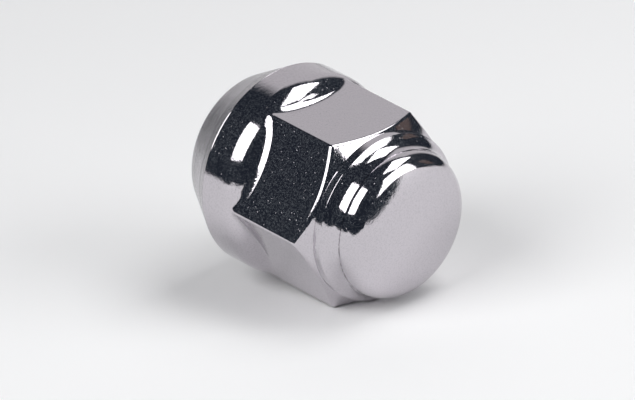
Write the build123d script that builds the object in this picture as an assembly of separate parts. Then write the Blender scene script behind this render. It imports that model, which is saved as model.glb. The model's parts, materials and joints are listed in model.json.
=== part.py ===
from build123d import *

import math
import os

# Closed-end wheel lug nut with a 60 degree cone seat, forged and turned as one piece of steel and plated.
# Millimetres and degrees.  The nut is drawn with its axis along +Z, from the open seat end at 0 to the
# crown of the dome, and is then laid on one flat, as it comes to rest, with the dome towards +X.

# Hexagon
across_flats = 21.0
corner_round = 0.45  # rounding of the six long corners
corner_top = 21.6  # height at which the corners end under the top chamfer
top_chamfer_angle = 35.0  # slope of the top chamfer, from a plane square to the axis
chamfer_round = 0.6  # rounding between the flats and the top chamfer

# Cone seat and collar
seat_half_angle = 30.0
seat_end_round = 1.5
rim_height = 6.2  # where the cone meets the collar
rim_round = 0.15
collar_margin = 0.18  # how far the collar stands out beyond the corners of the hexagon
collar_band = 3.2  # straight length of the collar
shoulder_radius = 3.4  # convex shoulder that falls from the collar to the flats
shoulder_fillet = 1.5  # hollow between the shoulder and the flats

# Cap: a ring that stands on the chamfer, and a hollow neck that narrows to the crease under the dome
ring_inset = 0.27  # how far the ring's wall lies inside the flats
ring_height = 1.05
ring_round = 0.12
neck_drop = 1.22  # from the ring's radius to the neck's radius at the crease
neck_hollow = 2.15  # radius of the hollow
crease_step = 0.05  # how far the dome starts inside the neck

# Dome
dome_edge_radius = 2.03
dome_edge_rise = 0.26  # from the crease to the dome's widest circle
crown_radius = 22.0

# Blind M12 x 1.5 bore, drawn at the thread's nominal diameter
bore_diameter = 12.0
bore_depth = 22.0  # straight wall and mouth chamfer together, from the seat end
mouth_chamfer = 0.8
drill_point_angle = 118.0

flat_radius = across_flats / 2
corner_radius = across_flats / math.sqrt(3)
collar_radius = corner_radius + collar_margin
ring_radius = flat_radius - ring_inset
neck_radius = ring_radius - neck_drop
dome_radius = neck_radius - crease_step
bore_radius = bore_diameter / 2
chamfer_slope = math.tan(math.radians(top_chamfer_angle))
seat_end_radius = collar_radius - rim_height * math.tan(math.radians(seat_half_angle))
shoulder_start = rim_height + collar_band
shoulder_centre = (collar_radius - shoulder_radius, shoulder_start)
ring_foot = corner_top + (corner_radius - ring_radius) * chamfer_slope
ring_top = ring_foot + ring_height
neck_rise = math.sqrt(neck_hollow**2 - (neck_hollow - neck_drop) ** 2)
crease = ring_top + neck_rise
dome_centre = (dome_radius - dome_edge_radius, crease + dome_edge_rise)

# At rest the nut touches the floor with its convex shoulder and with the rounded top edge of one flat.
flat_edge_centre = (
    flat_radius - chamfer_round,
    corner_top
    + (corner_radius - flat_radius + chamfer_round) * chamfer_slope
    - chamfer_round / math.cos(math.radians(top_chamfer_angle)),
)
contact_gap = (flat_edge_centre[0] - shoulder_centre[0], flat_edge_centre[1] - shoulder_centre[1])
floor_angle = math.degrees(
    math.atan2(contact_gap[0], contact_gap[1])
    + math.acos((shoulder_radius - chamfer_round) / math.hypot(*contact_gap))
)  # angle between the axis and the way down


def at(radius, height):
    """A point of the half section, which lies in the XZ plane."""
    return (radius, 0, height)


def on_arc(centre, radius, angle):
    """The point of an arc whose outward normal leans by angle from the axis towards the side."""
    lean = math.radians(angle)
    return at(centre[0] + radius * math.sin(lean), centre[1] + radius * math.cos(lean))


def arc(centre, radius, start, end):
    """An arc of the half section between two normal angles."""
    middle = (start + end) / 2
    points = [on_arc(centre, radius, angle) for angle in (start, middle, end)]
    return Edge.make_three_point_arc(*points)


def turned(edges):
    """The solid turned from an open outline that starts and ends on the axis."""
    first = edges[0] @ 0
    last = edges[-1] @ 1
    closing = Edge.make_line(last, first)
    return revolve(Face(Wire(edges + [closing])), Axis.Z, 360)


def lines(*points):
    """Straight edges from point to point."""
    return [Edge.make_line(a, b) for a, b in zip(points, points[1:])]


def seat_and_collar():
    """Cone seat, collar and the convex shoulder, which runs on inside the hexagon."""
    shoulder = arc(shoulder_centre, shoulder_radius, 90.0, 0.0)
    foot = lines(at(0, 0), at(seat_end_radius, 0), at(collar_radius, rim_height), shoulder @ 0)
    end = shoulder @ 1
    solid = turned(foot + [shoulder] + lines(end, at(0, end.Z)))
    seat_edge = solid.edges().filter_by(GeomType.CIRCLE).sort_by(Axis.Z)[0]
    solid = fillet(seat_edge, seat_end_round)
    rim_edge = circle_at(solid, rim_height, collar_radius)
    return fillet(rim_edge, rim_round)


def circle_at(solid, height, radius):
    """The full circular edge nearest to a height and radius."""

    def miss(edge):
        return abs(edge.arc_center.Z - height) + abs(edge.radius - radius)

    return sorted(solid.edges().filter_by(GeomType.CIRCLE), key=miss)[0]


def hexagon():
    """Hexagonal prism with rounded corners, under the conical top chamfer."""
    outline = RegularPolygon(corner_radius, 6, rotation=30)
    prism = Pos(0, 0, rim_height) * extrude(outline, ring_foot - rim_height)
    prism = fillet(prism.edges().filter_by(Axis.Z), corner_round)
    overhang = 5.0  # how far the chamfer's cutting cone reaches outside the corners
    low = corner_top - overhang * chamfer_slope
    outside = corner_radius + overhang
    cone = lines(at(0, 0), at(outside, 0), at(outside, low), at(ring_radius, ring_foot), at(0, ring_foot))
    return prism & turned(cone)


def boundary_of_flats(solid, low, high):
    """The closed loop of curved edges that bounds the flats between two heights."""
    plain = (GeomType.LINE, GeomType.CIRCLE)
    return [e for e in solid.edges() if low < e.center().Z < high and e.geom_type not in plain]


def cap():
    """Ring, hollow neck, crease and dome, turned as one outline."""
    hollow_centre = (neck_radius + neck_hollow, crease)
    ring_angle = math.degrees(math.asin((neck_hollow - neck_drop) / neck_hollow))
    hollow = arc(hollow_centre, -neck_hollow, ring_angle, 90.0)
    start_angle = 90 + math.degrees(math.asin(dome_edge_rise / dome_edge_radius))
    crown_reach = crown_radius - dome_edge_radius
    crown_angle = math.degrees(math.asin(dome_centre[0] / crown_reach))
    crown_centre = (0, dome_centre[1] - math.sqrt(crown_reach**2 - dome_centre[0] ** 2))
    edge = arc(dome_centre, dome_edge_radius, start_angle, crown_angle)
    crown = arc(crown_centre, crown_radius, crown_angle, 0.0)
    wall = lines(at(0, ring_foot), at(ring_radius, ring_foot), hollow @ 0)
    step = lines(hollow @ 1, edge @ 0)
    return turned(wall + [hollow] + step + [edge, crown])


def bore():
    """The drilled hole with its mouth chamfer and drill point."""
    mouth = bore_radius + mouth_chamfer
    point_depth = bore_depth + bore_radius / math.tan(math.radians(drill_point_angle / 2))
    outline = lines(
        at(0, 0),
        at(mouth, 0),
        at(bore_radius, mouth_chamfer),
        at(bore_radius, bore_depth),
        at(0, point_depth),
    )
    return turned(outline)


def lug_nut():
    """The whole nut, upright on its seat end."""
    body = seat_and_collar() + hexagon()
    shoulder_loop = boundary_of_flats(body, shoulder_start, shoulder_start + shoulder_radius)
    body = fillet(shoulder_loop, shoulder_fillet)
    chamfer_loop = boundary_of_flats(body, corner_top - chamfer_round, ring_foot)
    body = fillet(chamfer_loop, chamfer_round)
    body = body + cap()
    body = fillet(circle_at(body, ring_top, ring_radius), ring_round)
    return body - bore()


def resting_place(upright):
    """The move that lays the upright nut on one flat, centred over the origin."""
    lay = Rot(0, 180 - floor_angle, 0)
    box = (lay * upright).bounding_box()
    return Pos(-box.center().X, -box.center().Y, -box.min.Z) * lay


def print_interfaces(place):
    """Places and directions of the nut's interfaces, in metres, in the resting frame."""
    heights = {
        "seat end": 0.0,
        "middle of the bore's wall": (mouth_chamfer + bore_depth) / 2,
        "middle of the cone seat": rim_height / 2,
        "middle of the flats": (shoulder_start + corner_top) / 2,
        "axis from here": 0.0,
        "axis to here": 1000.0,
    }
    for name, height in heights.items():
        point = (place * Pos(0, 0, height)).position
        print(name, [round(value / 1000, 6) for value in point])


if __name__ == "__main__":
    upright = lug_nut()
    place = resting_place(upright)
    nut = place * upright
    print("angle between the axis and the way down", round(floor_angle, 3))
    print_interfaces(place)
    os.makedirs("parts", exist_ok=True)
    export_step(nut, "parts/lug_nut.step")
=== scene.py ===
import json
import math

import bmesh
import bpy
from mathutils import Matrix, Vector


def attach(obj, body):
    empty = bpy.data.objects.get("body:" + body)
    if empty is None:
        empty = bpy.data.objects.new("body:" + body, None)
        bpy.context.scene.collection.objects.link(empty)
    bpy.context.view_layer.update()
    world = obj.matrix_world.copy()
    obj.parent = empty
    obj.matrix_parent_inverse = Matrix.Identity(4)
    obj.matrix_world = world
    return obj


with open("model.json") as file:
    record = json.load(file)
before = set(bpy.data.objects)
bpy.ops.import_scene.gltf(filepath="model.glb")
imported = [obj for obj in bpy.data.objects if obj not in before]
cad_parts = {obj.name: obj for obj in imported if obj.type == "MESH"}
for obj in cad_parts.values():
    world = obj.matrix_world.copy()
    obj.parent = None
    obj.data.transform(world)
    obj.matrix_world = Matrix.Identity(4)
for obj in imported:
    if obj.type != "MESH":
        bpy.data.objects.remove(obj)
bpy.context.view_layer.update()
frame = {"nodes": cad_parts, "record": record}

# A chromed wheel lug nut, lying on one flat with its dome towards +X.  Metres; angles in degrees.
# Directions round the nut are given as azimuth and elevation: azimuth 0 is the -Y side, 90 the +X side.
MM = 0.001

# Camera
view_azimuth = 51.12
view_elevation = 22.39
view_roll = -6.4
view_distance = 1.2
frame_width = 0.0725  # what the picture's width covers at the nut
aim = Vector((0.0029, -0.0043, 0.0122))
sensor_width = 36.0

# The nut's own axis and bore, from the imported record; axial distances run from the seat end
bore_mount = next(m for m in frame["record"]["mounts"] if m["name"] == "stud_thread")
axis = -Vector(bore_mount["axis"]).normalized()
thread_radius = bore_mount["dims"]["r_mm"] * MM
bore_middle = Vector(bore_mount["pos_m"])
mouth_chamfer = 0.8 * MM
bore_depth = bore_mount["dims"]["length_mm"] * MM + mouth_chamfer
seat_end = bore_middle - axis * (mouth_chamfer + bore_depth) / 2
thread_pitch = 1.5 * MM
thread_depth = 0.541 * thread_pitch
thread_sink = 0.02 * MM  # how far the ridges' feet reach into the wall
thread_start = mouth_chamfer + 0.3 * MM
thread_end = bore_depth - 1.5 * MM

# Places along the axis and across it, in millimetres, where the finish changes
rim_height = 6.2
crease_height = 25.915
crown_centre_height = 7.446
crown_middle = 3.0  # inside this radius the crown is shaded by its own formula
bore_edge = thread_radius / MM + 0.05
bore_end = 27.0

# Studio
floor_radius = 6.0
room_radius = 3.0
paper_corner = (0.047, -0.003)  # the pale paper ends here; a dark table runs on towards +X and -Y
paper_edge_slope = 0.66  # of the paper's far edge, in Y over X
table_lift = 0.2 * MM
softbox_distance = 0.5
softbox_radiance = 3.6
card_distance = 0.9
sweep_width = 1.15
sweep_height = 1.25
sweep_fade = 0.35  # share of the half width or half height over which the sweep fades out

# Colours
floor_colour = (0.92, 0.92, 0.92)
room_colour = (0.016, 0.021, 0.032)
wood_colour = (0.13, 0.095, 0.085)
sweep_colour = (0.67, 0.66, 0.67)
chrome_colour = (0.575, 0.545, 0.58)
haze_colour = (0.52, 0.56, 0.60)
steel_colour = (0.30, 0.29, 0.28)

# Depths of the marks in the plating
wave_depth = 0.020 * MM
peel_depth = 0.0075 * MM
hairline_depth = 0.0016 * MM
ripple_depth = 0.004 * MM
pit_depth = 0.02 * MM
scratch_depth = 0.012 * MM
turning_depth = 0.09 * MM
thread_mark_depth = 0.004 * MM

# Gloss of the plating
chrome_roughness = 0.035
smudge_roughness = 0.05  # added where the plating is smudged
seat_roughness = 0.09  # added on the cone seat
bore_roughness = 0.30  # added inside the bore
haze_roughness = 0.55
haze_amount = 0.13


def direction(azimuth, elevation):
    """The unit vector from the nut towards an azimuth and elevation."""
    a = math.radians(azimuth)
    e = math.radians(elevation)
    return Vector((math.sin(a) * math.cos(e), -math.cos(a) * math.cos(e), math.sin(e)))


def link(obj):
    bpy.context.scene.collection.objects.link(obj)
    return obj


def mesh_object(name, build):
    """A new object whose mesh is made by build(bm)."""
    bm = bmesh.new()
    build(bm)
    mesh = bpy.data.meshes.new(name)
    bm.to_mesh(mesh)
    bm.free()
    return link(bpy.data.objects.new(name, mesh))


# ---------------------------------------------------------------- camera

def make_camera():
    camera = bpy.data.cameras.new("camera")
    camera.sensor_width = sensor_width
    camera.lens = sensor_width * view_distance / frame_width
    camera.clip_end = 20.0
    back = direction(view_azimuth, view_elevation)
    turn = back.to_track_quat("Z", "Y").to_matrix() @ Matrix.Rotation(math.radians(view_roll), 3, "Z")
    obj = link(bpy.data.objects.new("camera", camera))
    obj.matrix_world = Matrix.Translation(aim + back * view_distance) @ turn.to_4x4()
    bpy.context.scene.camera = obj


# ---------------------------------------------------------------- shader helpers

class Nodes:
    """Short calls that add nodes to one material."""

    def __init__(self, name):
        self.material = bpy.data.materials.new(name)
        self.material.use_nodes = True
        self.tree = self.material.node_tree
        self.tree.nodes.clear()
        self.output = self.tree.nodes.new("ShaderNodeOutputMaterial")

    def add(self, kind, *inputs, **settings):
        """A node with its settings and its first inputs, which are values or other sockets."""
        node = self.tree.nodes.new("ShaderNode" + kind)
        for key, value in settings.items():
            setattr(node, key, value)
        for socket, value in zip(node.inputs, inputs):
            self.put(socket, value)
        return node

    def put(self, socket, value):
        if isinstance(value, bpy.types.NodeSocket):
            self.tree.links.new(value, socket)
        elif value is not None:
            socket.default_value = value

    def math(self, operation, *values, clamp=False):
        return self.add("Math", *values, operation=operation, use_clamp=clamp).outputs[0]

    def smooth(self, value, low, high):
        """0 below low, 1 above high, and a smooth step between."""
        node = self.add("MapRange", interpolation_type="SMOOTHSTEP")
        for name, given in (("Value", value), ("From Min", low), ("From Max", high)):
            self.put(node.inputs[name], given)
        return node.outputs[0]

    def noise(self, vector, scale, detail=2.0, roughness=0.5):
        node = self.add("TexNoise")
        self.put(node.inputs["Vector"], vector)
        self.put(node.inputs["Scale"], scale)
        self.put(node.inputs["Detail"], detail)
        self.put(node.inputs["Roughness"], roughness)
        return node.outputs["Fac"]


def turned_about_y(n, vector, angle):
    turn = n.add("VectorRotate", vector, rotation_type="Y_AXIS")
    n.put(turn.inputs["Angle"], angle)
    return turn.outputs[0]


def nut_place(n):
    """Axial distance, radius and the point itself, in millimetres in the nut's own frame."""
    point = n.add("TexCoord").outputs["Object"]
    away = n.add("VectorMath", point, tuple(seat_end), operation="SUBTRACT").outputs[0]
    level = turned_about_y(n, away, -math.atan2(axis.x, axis.z))
    scaled = n.add("VectorMath", level, operation="SCALE")
    n.put(scaled.inputs["Scale"], 1 / MM)
    parts = n.add("SeparateXYZ", scaled.outputs[0]).outputs
    squares = [n.math("MULTIPLY", part, part) for part in (parts[0], parts[1])]
    radius = n.math("SQRT", n.math("ADD", *squares))
    return parts[2], radius, scaled.outputs[0]


# ---------------------------------------------------------------- finish of the nut

def rings(n, axial, fineness):
    """Turning marks: a height that changes only along the axis."""
    along = n.add("CombineXYZ", 0.0, 0.0, axial).outputs[0]
    return n.noise(along, fineness, detail=4.0, roughness=0.7)


def band(n, value, low, high, edge):
    """1 between low and high, fading over edge on each side."""
    rise = n.smooth(value, low - edge, low + edge)
    fall = n.smooth(value, high - edge, high + edge)
    return n.math("MULTIPLY", rise, n.math("SUBTRACT", 1.0, fall), clamp=True)


def bump(n, height, depth, below=None):
    """A bump of this depth in metres for heights from 0 to 1, on top of another bump."""
    node = n.add("Bump")
    n.put(node.inputs["Strength"], 1.0)
    n.put(node.inputs["Distance"], depth)
    n.put(node.inputs["Height"], height)
    if below is not None:
        n.put(node.inputs["Normal"], below)
    return node.outputs[0]


def pits(n, point, fineness, size):
    """Scattered round pits: 1 outside them, falling to 0 at their middles."""
    cells = n.add("TexVoronoi", feature="F1")
    n.put(cells.inputs["Vector"], point)
    n.put(cells.inputs["Scale"], fineness)
    n.put(cells.inputs["Randomness"], 1.0)
    rare = n.add("SeparateColor", cells.outputs["Color"]).outputs[0]
    chosen = n.math("GREATER_THAN", rare, 0.72)
    hollow = n.math("SUBTRACT", 1.0, n.smooth(cells.outputs["Distance"], 0.0, size))
    return n.math("SUBTRACT", 1.0, n.math("MULTIPLY", hollow, chosen))


def hairlines(n, point, turn, fineness, stretch):
    """Long fine polishing marks that run one way."""
    turned = n.add("VectorRotate", point, rotation_type="AXIS_ANGLE")
    n.put(turned.inputs["Axis"], (0.35, 0.8, 0.5))
    n.put(turned.inputs["Angle"], math.radians(turn))
    scale = (fineness, fineness, fineness / stretch)
    long = n.add("VectorMath", turned.outputs[0], scale, operation="MULTIPLY")
    return n.noise(long.outputs[0], 1.0, detail=3.0, roughness=0.6)


def true_normal(n, axial, radius, point):
    """The surface normal, taken from the crown's sphere near the middle of the dome."""
    crown_centre = (0.0, 0.0, crown_centre_height)
    outward = n.add("VectorMath", point, crown_centre, operation="SUBTRACT").outputs[0]
    unit = n.add("VectorMath", outward, operation="NORMALIZE").outputs[0]
    sphere = turned_about_y(n, unit, math.atan2(axis.x, axis.z))
    inside = n.math("SUBTRACT", 1.0, n.smooth(radius, crown_middle * 0.5, crown_middle))
    on_crown = n.math("MULTIPLY", inside, n.math("GREATER_THAN", axial, crease_height))
    mixed = n.add("Mix", data_type="VECTOR")
    n.put(mixed.inputs["Factor"], on_crown)
    n.put(mixed.inputs["A"], n.add("NewGeometry").outputs["Normal"])
    n.put(mixed.inputs["B"], sphere)
    return mixed.outputs["Result"]


def plated_normal(n, point, on_dome, turning, smooth_normal):
    """Waves of the forging, orange peel, hairlines, the dome's ripple, pits, scratches, the turned seat."""
    normal = bump(n, n.noise(point, 0.30, detail=1.0), wave_depth, smooth_normal)
    normal = bump(n, n.noise(point, 2.6, detail=3.0, roughness=0.6), peel_depth, normal)
    normal = bump(n, hairlines(n, point, 25.0, 9.0, 14.0), hairline_depth, normal)
    ripple = n.math("MULTIPLY", hairlines(n, point, -40.0, 3.0, 5.0), on_dome)
    normal = bump(n, ripple, ripple_depth, normal)
    normal = bump(n, pits(n, point, 2.6, 0.16), pit_depth, normal)
    stretched = n.add("VectorMath", point, (1.0, 2.6, 0.5), operation="MULTIPLY").outputs[0]
    normal = bump(n, pits(n, stretched, 1.5, 0.10), scratch_depth, normal)
    return bump(n, turning, turning_depth, normal)


def plated_colour(n, axial, point, in_bore, painted_line_shade):
    """Chrome, or steel in the bore, darkened by painted shade in the crease at the foot of the dome and by
    painted shade along the seat's turned lines.
    """
    # Painted shade: the crease at the foot of the dome is darkened in noisy patches, by up to 0.3.
    crease_shade_noise = n.smooth(n.noise(point, 2.2, detail=4.0), 0.38, 0.62)
    in_crease = band(n, axial, crease_height - 0.05, crease_height + 0.06, 0.05)
    crease_shade = n.math("MULTIPLY", n.math("MULTIPLY", in_crease, crease_shade_noise), 0.3)
    unshaded = n.math("SUBTRACT", n.math("SUBTRACT", 1.0, crease_shade), painted_line_shade)
    metal = n.add("Mix", data_type="RGBA")
    n.put(metal.inputs["Factor"], in_bore)
    n.put(metal.inputs["A"], (*chrome_colour, 1))
    n.put(metal.inputs["B"], (*steel_colour, 1))
    shade = n.add("Mix", data_type="RGBA", blend_type="MULTIPLY")
    n.put(shade.inputs["Factor"], 1.0)
    n.put(shade.inputs["A"], metal.outputs["Result"])
    n.put(shade.inputs["B"], n.add("CombineColor", unshaded, unshaded, unshaded).outputs[0])
    return shade.outputs["Result"]


def plated_roughness(n, point, on_seat, in_bore):
    smudge = n.smooth(n.noise(point, 0.5, detail=5.0, roughness=0.65), 0.35, 0.75)
    rough = n.math("ADD", chrome_roughness, n.math("MULTIPLY", smudge, smudge_roughness))
    rough = n.math("ADD", rough, n.math("MULTIPLY", on_seat, seat_roughness))
    return n.math("ADD", rough, n.math("MULTIPLY", in_bore, bore_roughness))


def metal_shader(n, colour, roughness, normal=None):
    shader = n.add("BsdfPrincipled")
    n.put(shader.inputs["Metallic"], 1.0)
    n.put(shader.inputs["Base Color"], colour)
    n.put(shader.inputs["Roughness"], roughness)
    n.put(shader.inputs["Normal"], normal)
    return shader.outputs[0]


def chrome_material():
    """Bright chrome over a forged and turned blank, with bare steel inside the bore."""
    n = Nodes("chrome_plate")
    axial, radius, point = nut_place(n)
    within = n.math("LESS_THAN", radius, bore_edge)
    in_bore = n.math("MULTIPLY", within, n.math("LESS_THAN", axial, bore_end))
    below_rim = n.math("SUBTRACT", 1.0, n.smooth(axial, rim_height - 0.1, rim_height + 0.1))
    on_seat = n.math("MULTIPLY", below_rim, n.math("SUBTRACT", 1.0, in_bore))
    on_dome = n.smooth(axial, crease_height, crease_height + 1.5)

    wobble = n.math("ADD", axial, n.math("MULTIPLY", n.noise(point, 0.4), 0.35))
    coarse_rings = rings(n, wobble, 1.7)
    turning = n.math("MULTIPLY", n.math("ADD", coarse_rings, rings(n, axial, 6.0)), on_seat)
    # Painted shade: the cone seat is darkened along its coarse turned lines, by up to 0.6, which dims its
    # reflections.
    painted_line_shade = n.math("MULTIPLY", n.smooth(coarse_rings, 0.42, 0.62), n.math("MULTIPLY", on_seat, 0.6))

    normal = plated_normal(n, point, on_dome, turning, true_normal(n, axial, radius, point))
    colour = plated_colour(n, axial, point, in_bore, painted_line_shade)
    plating = metal_shader(n, colour, plated_roughness(n, point, on_seat, in_bore), normal)

    # Haze of micro scratches, in fine patches
    haze = metal_shader(n, (*haze_colour, 1), haze_roughness)
    patches = n.smooth(n.noise(point, 5.0, detail=3.0, roughness=0.6), 0.40, 0.72)
    both = n.add("MixShader", n.math("MULTIPLY", patches, haze_amount), plating, haze)
    n.put(n.output.inputs["Surface"], both.outputs[0])
    return n.material


def steel_material():
    """Bare tapped steel: dull and mottled, with fine marks across the axis."""
    n = Nodes("tapped_steel")
    axial, radius, point = nut_place(n)
    mottle = n.noise(point, 1.2, detail=5.0, roughness=0.65)
    colour = n.add("ValToRGB")
    colour.color_ramp.elements[0].position = 0.35
    colour.color_ramp.elements[0].color = (*[0.55 * c for c in steel_colour], 1)
    colour.color_ramp.elements[1].position = 0.65
    colour.color_ramp.elements[1].color = (*steel_colour, 1)
    n.put(colour.inputs[0], mottle)
    rough = n.math("ADD", 0.28, n.math("MULTIPLY", mottle, 0.2))
    marks = bump(n, rings(n, axial, 16.0), thread_mark_depth)
    n.put(n.output.inputs["Surface"], metal_shader(n, colour.outputs[0], rough, marks))
    return n.material


# ---------------------------------------------------------------- thread

def make_thread():
    """The right-handed ridges of the tapped hole, as one helical piece that stands on the bore's wall."""
    across = axis.orthogonal().normalized()
    beside = axis.cross(across)
    steps = 96
    turns = (thread_end - thread_start) / thread_pitch
    count = int(turns * steps)
    crest_half = thread_pitch / 8
    foot_half = thread_pitch * 7 / 16
    fade_steps = steps * 0.75

    def build(bm):
        loops = []
        for i in range(count + 1):
            angle = 2 * math.pi * i / steps
            height = thread_start + thread_pitch * i / steps
            grown = min(1.0, i / fade_steps, (count - i) / fade_steps)
            crest = thread_radius - thread_depth * grown
            foot = thread_radius + thread_sink
            outward = across * math.cos(angle) + beside * math.sin(angle)
            section = [(foot, -foot_half), (crest, -crest_half), (crest, crest_half), (foot, foot_half)]
            loops.append([bm.verts.new(seat_end + axis * (height + z) + outward * r) for r, z in section])
        for one, two in zip(loops, loops[1:]):
            for k in range(4):
                bm.faces.new((one[k], two[k], two[(k + 1) % 4], one[(k + 1) % 4]))
        bm.faces.new(loops[0])
        bm.faces.new(reversed(loops[-1]))
        bmesh.ops.recalc_face_normals(bm, faces=bm.faces)

    thread = mesh_object("thread_ridges", build)
    for polygon in thread.data.polygons:
        polygon.use_smooth = True
    thread.data.set_sharp_from_angle(angle=math.radians(30))
    thread.data.materials.append(steel_material())
    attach(thread, "root")


# ---------------------------------------------------------------- studio

def facing_nut(azimuth, elevation, distance):
    """The place of a card or lamp that faces the nut from this direction."""
    back = direction(azimuth, elevation)
    turn = back.to_track_quat("Z", "Y").to_matrix().to_4x4()
    return Matrix.Translation(aim + back * distance) @ turn


def paper_material(name, colour):
    n = Nodes(name)
    shader = n.add("BsdfPrincipled")
    n.put(shader.inputs["Base Color"], (*colour, 1))
    n.put(shader.inputs["Roughness"], 0.9)
    n.put(shader.inputs["Specular IOR Level"], 0.0)
    n.put(n.output.inputs["Surface"], shader.outputs[0])
    return n.material


def glow_material(name, colour):
    n = Nodes(name)
    shader = n.add("Emission", (*colour, 1), 1.0)
    n.put(n.output.inputs["Surface"], shader.outputs[0])
    return n.material


def fading_material(name, colour, width, height, fade):
    """A glow that fades into the dark room towards the edges of a card of this width and height."""
    n = Nodes(name)
    place = n.add("SeparateXYZ", n.add("TexCoord").outputs["Object"]).outputs
    across = n.math("SUBTRACT", 1.0, n.math("MULTIPLY", n.math("ABSOLUTE", place[0]), 2 / width))
    upward = n.math("SUBTRACT", 1.0, n.math("MULTIPLY", n.math("ABSOLUTE", place[1]), 2 / height))
    fading = n.smooth(n.math("MINIMUM", across, upward), 0.0, fade)
    mixed = n.add("Mix", data_type="RGBA")
    n.put(mixed.inputs["Factor"], fading)
    n.put(mixed.inputs["A"], (*room_colour, 1))
    n.put(mixed.inputs["B"], (*colour, 1))
    n.put(n.output.inputs["Surface"], n.add("Emission", mixed.outputs["Result"], 1.0).outputs[0])
    return n.material


def card(name, azimuth, elevation, width, height, material):
    """A flat card that faces the nut."""

    def build(bm):
        corners = [(-1, -1), (1, -1), (1, 1), (-1, 1)]
        bm.faces.new([bm.verts.new((x * width / 2, y * height / 2, 0)) for x, y in corners])

    obj = mesh_object(name, build)
    obj.matrix_world = facing_nut(azimuth, elevation, card_distance)
    obj.data.materials.append(material)
    obj.visible_camera = False


def make_cabinets():
    """Two pieces of furniture, which show as small brown patches in the chrome."""
    wood = glow_material("wood_brown", wood_colour)
    card("cabinet_right", 152, 14, 0.20, 0.26, wood)
    card("cabinet_left", 12, 33, 0.22, 0.30, wood)


def make_sweep():
    """A pale paper behind the seat end, which fades out at its edges."""
    paper = fading_material("sweep_paper", sweep_colour, sweep_width, sweep_height, sweep_fade)
    card("sweep", 231, 25, sweep_width, sweep_height, paper)


def softbox(name, azimuth, elevation, width, height):
    """A rectangular area lamp that faces the nut; its face shows softbox_radiance in the chrome."""
    lamp = bpy.data.lights.new(name, "AREA")
    lamp.shape = "RECTANGLE"
    lamp.size = width
    lamp.size_y = height
    lamp.energy = softbox_radiance * math.pi * width * height
    obj = link(bpy.data.objects.new(name, lamp))
    obj.matrix_world = facing_nut(azimuth, elevation, softbox_distance)


def make_floor():
    def build(bm):
        bmesh.ops.create_circle(bm, cap_ends=True, segments=96, radius=floor_radius)

    floor = mesh_object("floor", build)
    floor.data.materials.append(paper_material("floor_paper", floor_colour))


def make_table_edge():
    """The dark table beyond the corner of the floor's paper, which only the chrome sees."""

    def build(bm):
        corner_x, corner_y = paper_corner
        far = room_radius
        outline = [(corner_x, corner_y), (corner_x, -far), (far, -far), (far, far * paper_edge_slope)]
        bm.faces.new([bm.verts.new((x, y, table_lift)) for x, y in outline])

    table = mesh_object("dark_table", build)
    table.data.materials.append(glow_material("table_dark", room_colour))
    table.visible_camera = False
    table.visible_diffuse = False
    table.visible_shadow = False


def make_room():
    """Dark walls and ceiling all round, which the camera doesn't see and which cast no shadow."""

    def build(bm):
        bmesh.ops.create_icosphere(bm, subdivisions=4, radius=room_radius)

    room = mesh_object("dark_room", build)
    room.data.materials.append(glow_material("room_dark", room_colour))
    room.visible_camera = False
    room.visible_shadow = False


def make_world():
    world = bpy.data.worlds.new("world")
    world.use_nodes = True
    bpy.context.scene.world = world
    background = world.node_tree.nodes["Background"]
    background.inputs["Color"].default_value = (1, 1, 1, 1)
    background.inputs["Strength"].default_value = 1.0


def make_studio():
    make_floor()
    make_room()
    make_world()
    softbox("softbox_left", -8, 41, 0.445, 0.335)
    softbox("softbox_right", 113, 20.5, 0.33, 0.36)
    softbox("softbox_top", 147, 62, 0.38, 0.26)
    make_sweep()
    make_table_edge()
    make_cabinets()


# ---------------------------------------------------------------- build

bpy.context.scene.view_settings.view_transform = "Standard"
make_camera()
make_studio()

nut = frame["nodes"]["lug_nut"]
nut.data.materials.clear()
nut.data.materials.append(chrome_material())
make_thread()
